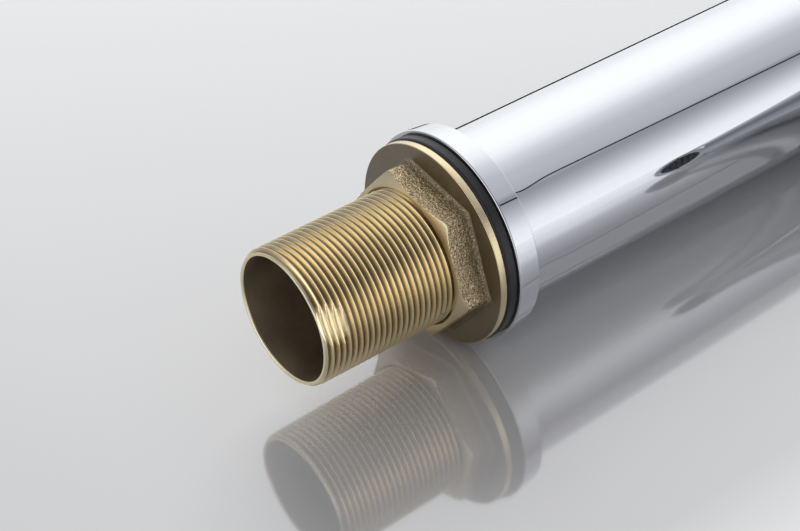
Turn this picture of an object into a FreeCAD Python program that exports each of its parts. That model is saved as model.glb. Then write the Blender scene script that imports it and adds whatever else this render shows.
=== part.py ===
import FreeCAD, Part
import os
import re
import Sketcher

# Deck-mounted single-lever basin mixer.
# The origin lies on the column's axis in the plane of the deck, +Z runs up the column and the spout points
# along -Y. Everything below Z 0 is under the deck.

# Driving dimensions, in millimetres and degrees.
SIZES = {
    # threaded shank, M32 x 1.5
    "shank_radius": 16.0,
    "shank_wall": 1.5,
    "shank_below_deck": 42.2,
    "shank_end_setback": 0.4,
    "shank_end_length": 0.9,
    "shank_grip": 14.0,
    "thread_pitch": 1.5,
    "thread_depth": 0.8,
    "thread_crest": 0.3,
    # flange nut
    "nut_height": 8.6,
    "nut_wall": 1.6,
    "nut_corner_round": 2.2,
    "nut_bevel_width": 0.9,
    "nut_bevel_depth": 1.9,
    "nut_flange_width": 8.0,
    "nut_flange_height": 1.8,
    "nut_fillet": 0.7,
    "nut_clearance": 0.1,
    "nut_countersink": 0.9,
    "nut_turn": 6.75,
    # gasket and foot ring
    "gasket_height": 2.7,
    "gasket_rim": 3.55,
    "gasket_round": 0.5,
    "ring_height": 5.8,
    "ring_low_rim": 4.4,
    "ring_high_rim": 3.85,
    "ring_recess": 0.8,
    "bore_clearance": 0.4,
    # column
    "bush_wall": 2.6,
    "column_wall": 2.0,
    "fit": 0.1,
    # valve body
    "floor_rise": 9.0,
    "valve_depth": 30.0,
    "valve_height": 25.0,
    "cup_wall": 2.65,
    "cup_step": 2.0,
    "cartridge_height": 20.5,
    "inlet_spacing": 14.4,
    "inlet_radius": 4.5,
    "inlet_depth": 12.0,
    "way_radius": 2.2,
    "way_x": 5.8,
    "way_overlap": 2.0,
    "port_x": 3.8,
    "port_y": 4.3,
    "outlet_y": 5.6,
    "spout_port_radius": 7.5,
    "spout_port_end": 8.0,
    # spout
    "spout_height": 135.0,
    "spout_reach": 108.0,
    "spout_root_radius": 18.0,
    "spout_tip_radius": 13.8,
    "spout_overhang": 15.0,
    "spout_end_round": 4.0,
    "spout_drop": 14.0,
    "outlet_boss_radius": 13.6,
    "spout_way_radius": 6.0,
    "spout_hollow_radius": 10.0,
    "spout_wall": 3.0,
    "spout_hollow_margin": 15.0,
    # nipple that carries the spout
    "nipple_bore_radius": 5.0,
    "nipple_spigot_radius": 8.0,
    "nipple_spigot_length": 20.0,
    "nipple_collar_radius": 9.6,
    "nipple_collar_width": 3.0,
    "seal_wire": 0.9,
    "seal_spacing": 5.0,
    "screw_radius": 2.5,
    "screw_length": 7.0,
    "screw_socket": 2.5,
    # aerator, M24 x 1
    "aerator_radius": 12.0,
    "aerator_height": 8.5,
    "aerator_wall": 1.3,
    "aerator_lip": 1.0,
    "aerator_hole_radius": 1.0,
    "aerator_hole_pitch": 3.4,
    "aerator_plate": 1.6,
    "washer_height": 1.4,
    "screen_height": 0.5,
    # ceramic cartridge
    "base_flange": 1.5,
    "base_height": 3.0,
    "disc_height": 2.0,
    "disc_gap": 0.05,
    "disc_clearance": 0.3,
    "disc_margin": 2.7,
    "inlet_recess_radius": 3.2,
    "inlet_recess_y": 1.4,
    "outlet_recess_radius": 3.9,
    "outlet_recess_y": 3.6,
    "mixing_depth": 1.2,
    "carrier_height": 3.5,
    "peg_radius": 0.9,
    "peg_margin": 1.5,
    "seal_outer_radius": 3.5,
    "seal_inner_radius": 2.3,
    "housing_wall": 1.5,
    "neck_step": 2.2,
    "neck_height": 6.5,
    "pivot_rise": 17.0,
    "rotor_clearance": 0.15,
    "rotor_top": 9.5,
    "rotor_seal_wire": 0.55,
    "pin_radius": 1.4,
    "pin_clearance": 0.08,
    "stem_width": 6.4,
    "stem_length": 34.5,
    "stem_ball_radius": 2.0,
    "stem_ball_drop": 7.4,
    "stem_neck_radius": 1.5,
    "stem_lean": 11.0,
    # retaining nut and dome
    "ring_nut_thread": 5.0,
    "ring_nut_hexagon": 4.5,
    "ring_nut_step": 1.5,
    "dome_rise": 12.0,
    "dome_wall": 1.5,
    "dome_hole_radius": 9.4,
    "dome_skirt": 3.6,
    # handle
    "hub_gap": 0.8,
    "hub_lift": 3.2,
    "hub_top": 42.0,
    "hub_wall": 3.0,
    "hub_roof": 4.0,
    "hub_boss_radius": 8.0,
    "hub_round": 2.5,
    "rod_rise": 34.5,
    "rod_angle": 20.0,
    "rod_length": 62.0,
    "rod_root_radius": 3.6,
    "rod_tip_radius": 4.5,
    "rod_stud": 8.0,
    "plug_radius": 3.3,
    "plug_setback": 6.4,
    "screw_gap": 1.05,
    "screw_rise": 28.0,
}

# Radii and heights that several pieces share, as formulas of the driving dimensions.
PLACES = {
    "shank_bore_radius": "shank_radius - shank_wall",
    "nut_flats": "2 * (shank_radius + nut_wall)",
    "nut_bevel_radius": "shank_radius + nut_bevel_width",
    "nut_flange_radius": "shank_radius + nut_flange_width",
    "inner_radius": "shank_radius + fit / 2 + bush_wall",
    "column_radius": "shank_radius + 3 * fit / 2 + bush_wall + column_wall",
    "gasket_radius": "column_radius + gasket_rim",
    "ring_low_radius": "column_radius + ring_low_rim",
    "ring_high_radius": "column_radius + ring_high_rim",
    "foot_level": "gasket_height + ring_height - ring_recess",
    "outlet_level": "spout_height - spout_drop",
    "seat_level": "spout_height + floor_rise",
    "pivot_level": "spout_height + floor_rise + pivot_rise",
    "column_top": "spout_height + floor_rise + pivot_rise + dome_rise",
    "dome_radius": "sqrt(column_radius ^ 2 + dome_rise ^ 2)",
    "nut_thread_radius": "inner_radius - cup_wall",
    "cartridge_radius": "inner_radius - cup_wall - cup_step",
    "fixed_disc_radius": "cartridge_radius - housing_wall - disc_clearance",
    "moving_disc_radius": "fixed_disc_radius - disc_margin",
    "peg_x": "moving_disc_radius - peg_margin",
    "neck_radius": "cartridge_radius - neck_step",
    "neck_bore_radius": "neck_radius - housing_wall",
    "ring_nut_flats": "2 * (nut_thread_radius - ring_nut_step)",
    "plug_place": "column_radius - plug_setback",
    "handle_screw_length": "plug_place - hub_wall - screw_gap - stem_width / 2 - fit",
    "ball_shift": "stem_ball_drop * sin(stem_lean * 1 deg)",
    "carrier_level": "base_height + 2 * disc_height + disc_gap",
    "shoulder_level": "cartridge_height",
}

# Where a sketch's corners start before the solver moves them to their dimensions.
SKETCH_START = 10.0

doc = FreeCAD.newDocument("basin_mixer")
sheet = doc.addObject("Spreadsheet::Sheet", "Sizes")
for row, (name, value) in enumerate(SIZES.items(), 1):
    sheet.set("A%d" % row, name)
    sheet.set("B%d" % row, str(value))
    sheet.setAlias("B%d" % row, name)
doc.recompute()


def linked(text):
    """The formula with shared places written out and every size pointed at the spreadsheet."""
    def swap(match):
        word = match.group(0)
        if word in PLACES:
            return "(" + linked(PLACES[word]) + ")"
        if word in SIZES:
            return "Sizes." + word
        return word
    return re.sub(r"[a-z_]+", swap, text)


def bind(thing, target, text):
    """Ties one property or constraint of an object to a formula."""
    thing.setExpression(target, linked(text))


# Sketches and features

def new_body(name, height="0"):
    """An empty body whose own origin stands on the column's axis at the given height."""
    body = doc.addObject("PartDesign::Body", name)
    body.Label = name
    bind(body, "Placement.Base.z", height)
    return body


def origin_part(body, role):
    """One plane or axis of the body's own origin."""
    return [part for part in body.Origin.OriginFeatures if part.Role == role][0]


def new_sketch(body, role, depth="0", rise="0"):
    """A sketch on one of the body's origin planes, moved along its normal and up its own second axis."""
    sketch = body.newObject("Sketcher::SketchObject", body.Name + "_sketch")
    sketch.AttachmentSupport = (origin_part(body, role), [""])
    sketch.MapMode = "FlatFace"
    bind(sketch, "AttachmentOffset.Base.z", depth)
    bind(sketch, "AttachmentOffset.Base.y", rise)
    return sketch


def place_point(sketch, geometry, point, corner):
    """Dimensions one point of a sketch from the sketch's origin."""
    for kind, text in zip(("DistanceX", "DistanceY"), corner):
        index = sketch.addConstraint(Sketcher.Constraint(kind, -1, 1, geometry, point, 1.0))
        bind(sketch, "Constraints[%d]" % index, text)


def outline(body, role, corners, depth="0", rise="0"):
    """A closed outline of straight lines through the corners, each corner a pair of formulas."""
    sketch = new_sketch(body, role, depth, rise)
    count = len(corners)
    start = Part.Circle(FreeCAD.Vector(0, 0, 0), FreeCAD.Vector(0, 0, 1), SKETCH_START)
    spots = [start.value(6.2831853 * i / count) for i in range(count)]
    for i in range(count):
        sketch.addGeometry(Part.LineSegment(spots[i], spots[(i + 1) % count]))
    for i in range(count):
        sketch.addConstraint(Sketcher.Constraint("Coincident", i, 2, (i + 1) % count, 1))
    for i, corner in enumerate(corners):
        place_point(sketch, i, 1, corner)
    return sketch


def circles(body, role, spots, depth="0", rise="0"):
    """A sketch of circles, each spot its centre's two places and its radius."""
    sketch = new_sketch(body, role, depth, rise)
    for i, (across, along, radius) in enumerate(spots):
        sketch.addGeometry(Part.Circle(FreeCAD.Vector(i, i, 0), FreeCAD.Vector(0, 0, 1), 1.0 + i))
        place_point(sketch, i, 3, (across, along))
        index = sketch.addConstraint(Sketcher.Constraint("Radius", i, 1.0 + i))
        bind(sketch, "Constraints[%d]" % index, radius)
    return sketch


def rectangle(body, role, half_width, half_depth, depth="0", rise="0"):
    """A rectangle about the sketch's origin."""
    corners = [("-(%s)" % half_width, "-(%s)" % half_depth), (half_width, "-(%s)" % half_depth),
               (half_width, half_depth), ("-(%s)" % half_width, half_depth)]
    return outline(body, role, corners, depth, rise)


def hexagon(body, flats, depth="0"):
    """A hexagon about the axis with two flats square to X, sized across its flats."""
    corners = [("%s / sqrt(3) * sin(%d deg)" % (flats, 60 * i), "%s / sqrt(3) * cos(%d deg)" % (flats, 60 * i))
               for i in range(6)]
    return outline(body, "XY_Plane", corners, depth)


def settle(body, feature, adds):
    """Recomputes and checks that a feature really added or took away material."""
    before = body.Tip.Shape.Volume if body.Tip and not body.Tip.Shape.isNull() else 0.0
    doc.recompute()
    after = feature.Shape.Volume
    if (after - before) * (1 if adds else -1) <= 1e-6:
        raise RuntimeError("%s changes nothing in %s" % (feature.Name, body.Label))
    body.Tip = feature
    return feature


def extrude(body, kind, sketch, length, reverse):
    before = body.Tip
    feature = body.newObject("PartDesign::" + kind, body.Name + "_" + kind.lower())
    body.Tip = before
    feature.Profile = sketch
    bind(feature, "Length", length)
    feature.Reversed = reverse
    return settle(body, feature, kind == "Pad")


def pad(body, sketch, length, reverse=False):
    return extrude(body, "Pad", sketch, length, reverse)


def pocket(body, sketch, length, reverse=False):
    return extrude(body, "Pocket", sketch, length, reverse)


def turn(body, sketch, kind="Revolution", axis="V_Axis"):
    before = body.Tip
    feature = body.newObject("PartDesign::" + kind, body.Name + "_" + kind.lower())
    body.Tip = before
    feature.Profile = sketch
    feature.ReferenceAxis = (sketch, [axis])
    feature.Angle = 360
    return settle(body, feature, kind == "Revolution")


def turned(name, corners, height="0"):
    """A body turned about the column's axis from an outline of radius and height."""
    body = new_body(name, height)
    turn(body, outline(body, "XZ_Plane", corners))
    return body


def dress(body, kind, edges, size):
    """A fillet or chamfer on the named edges of the body's last feature."""
    base = body.Tip
    feature = body.newObject("PartDesign::" + kind, body.Name + "_" + kind.lower())
    feature.Base = (base, edges)
    bind(feature, "Radius" if kind == "Fillet" else "Size", size)
    doc.recompute()
    body.Tip = feature
    return feature


def edges_where(body, test):
    """Names of the edges of the body's last feature that pass a test."""
    return ["Edge%d" % (i + 1) for i, edge in enumerate(body.Tip.Shape.Edges) if test(edge)]


def level_circle(height, radius):
    """A test for a full circle about the body's Z axis."""
    def test(edge):
        curve = edge.Curve
        return (isinstance(curve, Part.Circle) and abs(curve.Center.z - height) < 1e-4
                and abs(curve.Radius - radius) < 1e-4)
    return test


def upright(edge):
    """A test for straight edges along the body's Z axis."""
    return isinstance(edge.Curve, Part.Line) and abs(abs(edge.Curve.Direction.z) - 1) < 1e-6


def size(text):
    """The number that a formula has now."""
    if text in PLACES or text not in SIZES:
        probe.setExpression("Length", linked(text))
        probe.recompute()
        return probe.Length.Value
    return sheet.get(text)


probe = doc.addObject("Part::Line", "probe")
probe.addProperty("App::PropertyDistance", "Length")


# Under the deck and at the foot

def make_shank():
    """Hollow shank with a lead-in at its end; grooves at the thread's pitch run up to the deck."""
    low = "-shank_below_deck"
    high = "foot_level + fit + shank_grip"
    body = turned("threaded_shank", [
        ("shank_bore_radius", low),
        ("shank_radius - shank_end_setback", low),
        ("shank_radius", low + " + shank_end_length"),
        ("shank_radius", high),
        ("shank_bore_radius", high)])
    first = low + " + shank_end_length + thread_pitch / 2"
    half = "(thread_pitch - thread_crest) / 2 * (thread_depth + fit) / thread_depth"
    groove = turn(body, outline(body, "XZ_Plane", [
        ("shank_radius - thread_depth", first),
        ("shank_radius + fit", first + " - " + half),
        ("shank_radius + fit", first + " + " + half)]), "Groove")
    turns = int(size("(shank_below_deck - shank_end_length) / thread_pitch * 1 mm"))
    pattern = body.newObject("PartDesign::LinearPattern", "thread_turns")
    pattern.Originals = [groove]
    pattern.Direction = (origin_part(body, "Z_Axis"), [""])
    bind(pattern, "Length", "%d * thread_pitch" % (turns - 1))
    pattern.Occurrences = turns
    doc.recompute()
    body.Tip = pattern
    return body


def make_mounting_nut():
    """Cast hexagon with bevelled corners on a thin turned flange, bored and countersunk for the shank."""
    body = new_body("mounting_nut")
    pad(body, hexagon(body, "nut_flats"), "nut_height", True)
    dress(body, "Fillet", edges_where(body, upright), "nut_corner_round")
    bevel = outline(body, "XZ_Plane", [
        ("nut_bevel_radius", "-nut_height"),
        ("nut_flange_radius", "-nut_height"),
        ("nut_flange_radius", "-nut_height + nut_bevel_depth * (nut_flange_radius - nut_bevel_radius) / 4"),
    ])
    turn(body, bevel, "Groove")
    flange = outline(body, "XZ_Plane", [
        ("shank_radius", "0"),
        ("nut_flange_radius", "0"),
        ("nut_flange_radius", "-nut_flange_height"),
        ("shank_radius", "-nut_flange_height")])
    turn(body, flange)
    pocket(body, circles(body, "XY_Plane", [("0", "0", "shank_radius + nut_clearance")]), "nut_height")
    countersink = outline(body, "XZ_Plane", [
        ("shank_radius - nut_countersink", "-nut_height"),
        ("shank_radius + nut_countersink", "-nut_height"),
        ("shank_radius - nut_countersink", "-nut_height + 2 * nut_countersink")])
    turn(body, countersink, "Groove")
    body.Placement.Rotation = FreeCAD.Rotation(FreeCAD.Vector(0, 0, 1), size("nut_turn"))
    return body


def make_gasket():
    body = turned("base_gasket", [
        ("shank_radius + bore_clearance", "0"),
        ("gasket_radius", "0"),
        ("gasket_radius", "gasket_height"),
        ("shank_radius + bore_clearance", "gasket_height")])
    rim = size("gasket_radius")
    low = level_circle(0, rim)
    high = level_circle(size("gasket_height"), rim)
    dress(body, "Chamfer", edges_where(body, lambda edge: low(edge) or high(edge)), "gasket_round")
    return body


def make_base_ring():
    return turned("base_ring", [
        ("shank_radius + bore_clearance", "0"),
        ("ring_low_radius", "0"),
        ("ring_high_radius", "ring_height"),
        ("column_radius + fit", "ring_height"),
        ("column_radius + fit", "ring_height - ring_recess"),
        ("shank_radius + bore_clearance", "ring_height - ring_recess")], "gasket_height")


def make_base_bush():
    return turned("base_bush", [
        ("shank_radius + fit / 2", "0"),
        ("inner_radius", "0"),
        ("inner_radius", "shank_grip"),
        ("shank_radius + fit / 2", "shank_grip")], "foot_level + fit")


def make_column():
    body = turned("column_tube", [
        ("column_radius - column_wall", "0"),
        ("column_radius", "0"),
        ("column_radius", "column_top - foot_level - fit / 2"),
        ("column_radius - column_wall", "column_top - foot_level - fit / 2")], "foot_level")
    hole = circles(body, "XZ_Plane", [("0", "spout_height - foot_level", "spout_port_radius + 6 * fit")])
    pocket(body, hole, "column_radius + 1", True)
    return body


# Valve body

def make_valve_body():
    """Brass cup for the cartridge, with two threaded inlets below it and a threaded port for the spout."""
    top = "valve_height"
    low = "-valve_depth"
    body = turned("valve_body", [
        ("0", low),
        ("inner_radius", low),
        ("inner_radius", top),
        ("nut_thread_radius + fit / 2", top),
        ("nut_thread_radius + fit / 2", "shoulder_level"),
        ("cartridge_radius + fit", "shoulder_level"),
        ("cartridge_radius + fit", "0"),
        ("0", "0")], "seat_level")
    inlets = [(side + "inlet_spacing / 2", "-port_y", "inlet_radius") for side in ("-", "")]
    pocket(body, circles(body, "XY_Plane", inlets, low), "inlet_depth", True)
    ports = [(side + "port_x", "-port_y", "way_radius") for side in ("-", "")]
    pocket(body, circles(body, "XY_Plane", ports), "2 * way_overlap")
    ways = [(side + "way_x", "-port_y", "way_radius") for side in ("-", "")]
    pocket(body, circles(body, "XY_Plane", ways, "-way_overlap"), "valve_depth - inlet_depth - way_overlap / 2")
    pocket(body, circles(body, "XY_Plane", [("0", "outlet_y", "way_radius")]), "floor_rise")
    port = [("0", "-floor_rise", "spout_port_radius")]
    pocket(body, circles(body, "XZ_Plane", port, "spout_port_end"), "column_radius", True)
    cross_way = [("0", "-floor_rise", "way_radius")]
    pocket(body, circles(body, "XZ_Plane", cross_way, "-outlet_y"), "column_radius + outlet_y", True)
    return body


# Spout and outlet

def make_spout():
    """Tapered spout: saddle root, end rounded, outlet boss below, waterway and nipple socket inside."""
    body = new_body("spout", "spout_height")
    cone = outline(body, "YZ_Plane", [
        ("-column_radius / 2", "0"),
        ("-column_radius / 2", "spout_root_radius"),
        ("-(spout_reach + spout_overhang)", "spout_tip_radius"),
        ("-(spout_reach + spout_overhang)", "0")])
    turn(body, cone, "Revolution", "H_Axis")
    tip = -size("spout_reach") - size("spout_overhang")
    rim = edges_where(body, lambda edge: isinstance(edge.Curve, Part.Circle)
                      and abs(edge.Curve.Center.y - tip) < 1e-4)
    dress(body, "Fillet", rim, "spout_end_round")
    boss = [("0", "-spout_reach", "outlet_boss_radius")]
    pad(body, circles(body, "XY_Plane", boss, "-spout_drop"), "spout_drop")
    chamber = [("0", "-spout_reach", "aerator_radius")]
    pocket(body, circles(body, "XY_Plane", chamber, "-spout_root_radius"),
           "spout_root_radius - spout_drop + aerator_height + washer_height", True)
    way = [("0", "0", "spout_way_radius")]
    pocket(body, circles(body, "XZ_Plane", way), "spout_reach", True)
    hollow = circles(body, "XZ_Plane", [("0", "0", "spout_hollow_radius")], "spigot_end + spout_wall")
    pocket(body, hollow, "spout_reach - spout_hollow_margin - spigot_end - spout_wall", True)
    socket = [("0", "0", "nipple_spigot_radius + fit")]
    pocket(body, circles(body, "XZ_Plane", socket), "spigot_end + fit", True)
    recess = [("0", "0", "nipple_collar_radius + 4 * fit")]
    pocket(body, circles(body, "XZ_Plane", recess), "collar_end + 2 * fit", True)
    saddle = [("0", "0", "column_radius + fit / 2")]
    pocket(body, circles(body, "XY_Plane", saddle, "spout_root_radius"), "2 * spout_root_radius")
    screw = [("0", "-(collar_end + seal_spacing)", "screw_radius + fit / 2")]
    pocket(body, circles(body, "XY_Plane", screw), "spout_root_radius")
    return body


PLACES["collar_start"] = "column_radius + fit"
PLACES["collar_end"] = "column_radius + fit + nipple_collar_width"
PLACES["spigot_end"] = "column_radius + fit + nipple_collar_width + nipple_spigot_length"
PLACES["groove_radius"] = "nipple_spigot_radius - 2 * seal_wire"


def make_nipple():
    """Hollow nipple: thread into the valve body, collar against the column, spigot with three grooves."""
    body = new_body("spout_nipple", "spout_height")
    corners = [
        ("-(spout_port_end + fit)", "nipple_bore_radius"),
        ("-(spout_port_end + fit)", "spout_port_radius - fit / 2"),
        ("-collar_start", "spout_port_radius - fit / 2"),
        ("-collar_start", "nipple_collar_radius"),
        ("-collar_end", "nipple_collar_radius"),
        ("-collar_end", "nipple_spigot_radius")]
    for number, half in ((1, "screw_radius + fit"), (2, "seal_wire + fit"), (3, "seal_wire + fit")):
        near = "-(collar_end + %d * seal_spacing - %s)" % (number, half.replace("+", "-"))
        far = "-(collar_end + %d * seal_spacing + %s)" % (number, half)
        corners += [
            (near, "nipple_spigot_radius"),
            (near, "groove_radius"),
            (far, "groove_radius"),
            (far, "nipple_spigot_radius")]
    corners += [
        ("-spigot_end", "nipple_spigot_radius"),
        ("-spigot_end", "nipple_bore_radius")]
    turn(body, outline(body, "YZ_Plane", corners), "Revolution", "H_Axis")
    return body


def ring_seal(name, major, minor, height, along=None):
    """A round seal about the column's axis, or about the spout's axis at a distance along it."""
    body = new_body(name, height)
    section = []
    for i in range(8):
        section.append(("%s + %s * cos(%d deg)" % (major, minor, 45 * i), "%s * sin(%d deg)" % (minor, 45 * i)))
    turn(body, outline(body, "XZ_Plane", section))
    if along is not None:
        body.Placement.Rotation = FreeCAD.Rotation(FreeCAD.Vector(1, 0, 0), 90)
        bind(body, "Placement.Base.y", "-(%s)" % along)
    return body


def group(name, pieces):
    """Separate solids that share one node."""
    compound = doc.addObject("Part::Compound", name)
    compound.Label = name
    compound.Links = pieces
    return compound


def make_spout_seals():
    major = "nipple_spigot_radius + fit - seal_wire - fit / 2"
    return group("spout_o_rings", [
        ring_seal("spout_seal_%d" % number, major, "seal_wire", "spout_height",
                  "collar_end + %d * seal_spacing" % number)
        for number in (2, 3)])


def make_screw(name, length):
    """Socket set screw along its body's Z axis, point up and socket down."""
    body = new_body(name)
    pad(body, circles(body, "XY_Plane", [("0", "0", "screw_radius")]), length)
    point = level_circle(size(length), size("screw_radius"))
    dress(body, "Chamfer", edges_where(body, point), "screw_radius / 3")
    pocket(body, hexagon(body, "screw_socket"), "(%s) / 2" % length, True)
    return body


def make_spout_screw():
    body = make_screw("spout_grub_screw", "screw_length")
    bind(body, "Placement.Base.y", "-(collar_end + seal_spacing)")
    bind(body, "Placement.Base.z", "spout_height - groove_radius - fit - screw_length")
    return body


def make_aerator_housing():
    """Threaded outlet ring with a lip that holds the insert and two notches for a key."""
    body = new_body("aerator_housing", "outlet_level")
    outer = "aerator_radius - fit"
    inner = "aerator_radius - aerator_wall"
    ring = outline(body, "XZ_Plane", [
        (inner + " - aerator_lip / 2", "0"),
        (outer, "0"),
        (outer, "aerator_height"),
        (inner, "aerator_height"),
        (inner, "aerator_lip"),
        (inner + " - aerator_lip / 2", "aerator_lip")])
    turn(body, ring)
    pocket(body, rectangle(body, "XY_Plane", "aerator_radius", "aerator_lip"), "aerator_lip / 2", True)
    shift = "-spout_reach"
    bind(body, "Placement.Base.y", shift)
    return body


def make_aerator_insert():
    """Black plastic cup whose floor breaks the flow up through rings of holes."""
    body = new_body("aerator_insert", "outlet_level + aerator_lip + fit / 2")
    outer = "aerator_radius - aerator_wall - fit / 2"
    height = "aerator_height - aerator_lip - screen_height - fit"
    cup = outline(body, "XZ_Plane", [
        ("0", "0"),
        (outer, "0"),
        (outer, height),
        (outer + " - aerator_wall", height),
        (outer + " - aerator_wall", "aerator_plate"),
        ("0", "aerator_plate")])
    turn(body, cup)
    pocket(body, circles(body, "XY_Plane", [("0", "0", "aerator_hole_radius")]), "aerator_plate", True)
    for ring in (1, 2):
        spot = [("%d * aerator_hole_pitch" % ring, "0", "aerator_hole_radius")]
        hole = pocket(body, circles(body, "XY_Plane", spot), "aerator_plate", True)
        pattern = body.newObject("PartDesign::PolarPattern", "aerator_holes_%d" % ring)
        pattern.Originals = [hole]
        pattern.Axis = (origin_part(body, "Z_Axis"), [""])
        pattern.Angle = 360
        pattern.Occurrences = 6 * ring
        doc.recompute()
        body.Tip = pattern
    bind(body, "Placement.Base.y", "-spout_reach")
    return body


def make_aerator_screen():
    outer = "aerator_radius - aerator_wall - fit / 2"
    body = turned("aerator_screen", [
        ("0", "-aerator_plate"),
        (outer + " - 2 * aerator_wall", "-aerator_plate / 4"),
        (outer + " - 2 * aerator_wall", "0"),
        (outer, "0"),
        (outer, "screen_height - fit"),
        (outer + " - 3 * aerator_wall", "screen_height - fit"),
        ("0", "screen_height - fit - aerator_plate")], "outlet_level + aerator_height - screen_height")
    bind(body, "Placement.Base.y", "-spout_reach")
    return body


def make_aerator_washer():
    body = turned("aerator_washer", [
        ("aerator_radius - 2 * aerator_wall", "0"),
        ("aerator_radius - fit", "0"),
        ("aerator_radius - fit", "washer_height - fit"),
        ("aerator_radius - 2 * aerator_wall", "washer_height - fit")], "outlet_level + aerator_height")
    bind(body, "Placement.Base.y", "-spout_reach")
    return body


# Ceramic cartridge

PORTS = [("-port_x", "-port_y"), ("port_x", "-port_y"), ("0", "outlet_y")]


def make_cartridge_base():
    """Plastic base with three ports for the seals and two pegs that stop it turning."""
    body = turned("cartridge_base", [
        ("0", "0"),
        ("cartridge_radius - fit", "0"),
        ("cartridge_radius - fit", "base_flange"),
        ("cartridge_radius - housing_wall - fit", "base_flange"),
        ("cartridge_radius - housing_wall - fit", "base_height"),
        ("0", "base_height")], "seat_level")
    spots = [(across, along, "seal_outer_radius + fit / 2") for across, along in PORTS]
    pocket(body, circles(body, "XY_Plane", spots), "base_height", True)
    return body


def make_cartridge_seals():
    """Three rubber sleeves that join the ways of the valve body to the fixed disc."""
    seals = []
    for number, (across, along) in enumerate(PORTS, 1):
        outer = doc.addObject("Part::Cylinder", "seal_outer_%d" % number)
        inner = doc.addObject("Part::Cylinder", "seal_inner_%d" % number)
        seal = doc.addObject("Part::Cut", "seal_%d" % number)
        for cylinder, radius in ((outer, "seal_outer_radius"), (inner, "seal_inner_radius")):
            bind(cylinder, "Radius", radius)
            bind(cylinder, "Height", "base_height")
            bind(cylinder, "Placement.Base.x", across)
            bind(cylinder, "Placement.Base.y", along)
            bind(cylinder, "Placement.Base.z", "seat_level")
        seal.Base = outer
        seal.Tool = inner
        seals.append(seal)
    return group("cartridge_seals", seals)


def make_fixed_disc():
    body = new_body("fixed_disc", "seat_level + base_height")
    pad(body, circles(body, "XY_Plane", [("0", "0", "fixed_disc_radius")]), "disc_height")
    spots = [(across, along, "way_radius") for across, along in PORTS]
    pocket(body, circles(body, "XY_Plane", spots), "disc_height", True)
    return body


def make_moving_disc():
    """Ceramic disc with the mixing recess in its underside and two blind holes for the carrier's pegs."""
    body = new_body("moving_disc", "seat_level + base_height + disc_height + disc_gap")
    pad(body, circles(body, "XY_Plane", [("0", "0", "moving_disc_radius")]), "disc_height")
    inlet_recess = [("0", "-inlet_recess_y", "inlet_recess_radius")]
    pocket(body, circles(body, "XY_Plane", inlet_recess), "mixing_depth", True)
    outlet_recess = [("0", "outlet_recess_y", "outlet_recess_radius")]
    pocket(body, circles(body, "XY_Plane", outlet_recess), "mixing_depth", True)
    holes = [(side + "peg_x", "0", "peg_radius + fit") for side in ("-", "")]
    pocket(body, circles(body, "XY_Plane", holes, "disc_height"), "disc_height / 2 + fit")
    bind(body, "Placement.Base.y", "ball_shift")
    return body


def make_carrier():
    """Plastic carrier between the moving disc and the ball of the stem."""
    body = new_body("disc_carrier", "seat_level + carrier_level")
    pad(body, circles(body, "XY_Plane", [("0", "0", "moving_disc_radius")]), "carrier_height")
    pocket(body, circles(body, "XY_Plane", [("0", "0", "stem_ball_radius + 3 * fit")], "carrier_height"),
           "carrier_height - 5 * fit")
    pegs = [(side + "peg_x", "0", "peg_radius") for side in ("-", "")]
    pad(body, circles(body, "XY_Plane", pegs), "disc_height / 2", True)
    bind(body, "Placement.Base.y", "ball_shift")
    return body


def make_housing():
    inner = "cartridge_radius - housing_wall"
    outer = "cartridge_radius"
    return turned("cartridge_housing", [
        (inner, "base_flange + fit / 2"),
        (outer, "base_flange + fit / 2"),
        (outer, "shoulder_level"),
        ("neck_radius", "shoulder_level"),
        ("neck_radius", "shoulder_level + neck_height"),
        ("neck_bore_radius", "shoulder_level + neck_height"),
        ("neck_bore_radius", "shoulder_level - housing_wall"),
        (inner, "shoulder_level - housing_wall")], "seat_level")


def make_rotor():
    """Turning guide of the cartridge: two legs beside the carrier, a slot for the stem and a seal groove."""
    body = new_body("cartridge_rotor", "pivot_level")
    low = "carrier_level - pivot_rise + 3 * fit"
    outer = "cartridge_radius - housing_wall - rotor_clearance"
    shoulder = "shoulder_level - housing_wall - pivot_rise - rotor_clearance"
    neck = "neck_bore_radius - rotor_clearance"
    groove = "shoulder_level + neck_height / 3 - pivot_rise"
    form = outline(body, "XZ_Plane", [
        ("0", low),
        (outer, low),
        (outer, shoulder),
        (neck, shoulder),
        (neck, groove),
        (neck + " - 2 * rotor_seal_wire - fit", groove),
        (neck + " - 2 * rotor_seal_wire - fit", groove + " + 2 * rotor_seal_wire + 2 * fit"),
        (neck, groove + " + 2 * rotor_seal_wire + 2 * fit"),
        (neck, "rotor_top"),
        ("0", "rotor_top")])
    turn(body, form)
    slot = rectangle(body, "XY_Plane", "stem_width / 2 + 2 * fit", "stem_width - 8 * fit", low)
    pocket(body, slot, "rotor_top - (%s)" % low, True)
    bay = rectangle(body, "XY_Plane", "moving_disc_radius + 3 * fit", "cartridge_radius", low)
    pocket(body, bay, "carrier_height", True)
    hole = circles(body, "YZ_Plane", [("0", "0", "pin_radius + fit / 5")], "-cartridge_radius")
    pocket(body, hole, "2 * cartridge_radius", True)
    return body


def make_rotor_seal():
    height = "seat_level + shoulder_level + neck_height / 3 + rotor_seal_wire + fit"
    return ring_seal("rotor_o_ring", "neck_bore_radius - rotor_clearance - rotor_seal_wire - fit / 2",
                     "rotor_seal_wire", height)


def make_pin():
    body = new_body("stem_pin", "pivot_level")
    half = "cartridge_radius - housing_wall - 8 * fit"
    pad(body, circles(body, "YZ_Plane", [("0", "0", "pin_radius")], "-(%s)" % half), "2 * (%s)" % half)
    return body


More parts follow.
